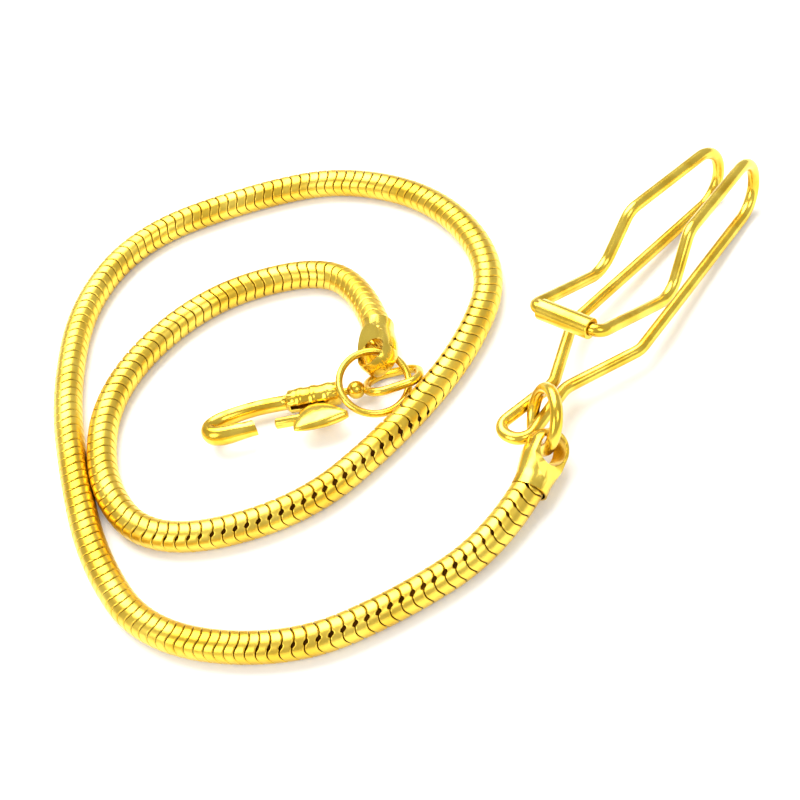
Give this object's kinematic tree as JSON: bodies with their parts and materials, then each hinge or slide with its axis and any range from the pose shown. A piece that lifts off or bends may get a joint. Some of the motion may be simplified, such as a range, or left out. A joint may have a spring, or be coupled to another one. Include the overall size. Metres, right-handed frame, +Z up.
{
  "type": "pocket watch chain",
  "caption": "Round snake chain for a pocket watch, with a drilled cap on each end, a bent-wire garment clip at one end and a swivel bolt clasp at the other.",
  "frame": {"origin": "on the surface the chain lies on, under the middle of the object's box", "axes": "+Z up; +X from the clip's eye to its hairpin end; +Y across it, towards the chain's loops"},
  "size_m": [0.0884, 0.0772, 0.0118],
  "materials": {
    "gold_chain": "polished gold-tone plate",
    "gold_fittings": "polished gold-tone plate"
  },
  "bodies": {
    "chain": {"snake_chain": "gold_chain", "end_cap_clip": "gold_fittings", "end_cap_clasp": "gold_fittings"},
    "clip_link": {"clip_ring": "gold_fittings"},
    "clip": {"clip_wire": "gold_fittings", "clip_sleeve": "gold_fittings"},
    "clasp_link": {"clasp_ring": "gold_fittings"},
    "swivel": {"swivel_eye": "gold_fittings", "swivel_head": "gold_fittings"},
    "clasp": {"hook_body": "gold_fittings", "swivel_collar": "gold_fittings"},
    "bolt": {"thumb_slide": "gold_fittings", "bolt_pin": "gold_fittings"}
  },
  "joints": [
    {"name": "clip_ring_swing", "type": "hinge", "parent": "chain", "child": "clip_link", "pos_m": [-0.00256, -0.03546, 0.00333], "axis": [0.0741, -0.8537, 0.5154], "range_deg": [0, 20]},
    {"name": "clip_swing", "type": "hinge", "parent": "clip_link", "child": "clip", "pos_m": [0.00127, -0.03093, 0.00367], "axis": [-0.7188, -0.4628, -0.5188], "range_deg": [0, 35]},
    {"name": "clasp_ring_swing", "type": "hinge", "parent": "chain", "child": "clasp_link", "pos_m": [-0.00067, -0.00922, 0.00355], "axis": [0.2041, 0.9783, 0.036], "range_deg": [0, 22]},
    {"name": "swivel_swing", "type": "hinge", "parent": "clasp_link", "child": "swivel", "pos_m": [-0.00087, -0.01368, 0.00128], "axis": [-0.4051, 0.8522, -0.3311], "range_deg": [0, 25]},
    {"name": "clasp_turn", "type": "hinge", "parent": "swivel", "child": "clasp", "pos_m": [-0.0049, -0.0087, 0.00162], "axis": [-0.6528, 0.7576, 0], "continuous": true},
    {"name": "bolt_slide", "type": "slide", "parent": "clasp", "child": "bolt", "axis": [-0.6528, 0.7576, 0], "range_m": [0, 0.0022]}
  ]
}
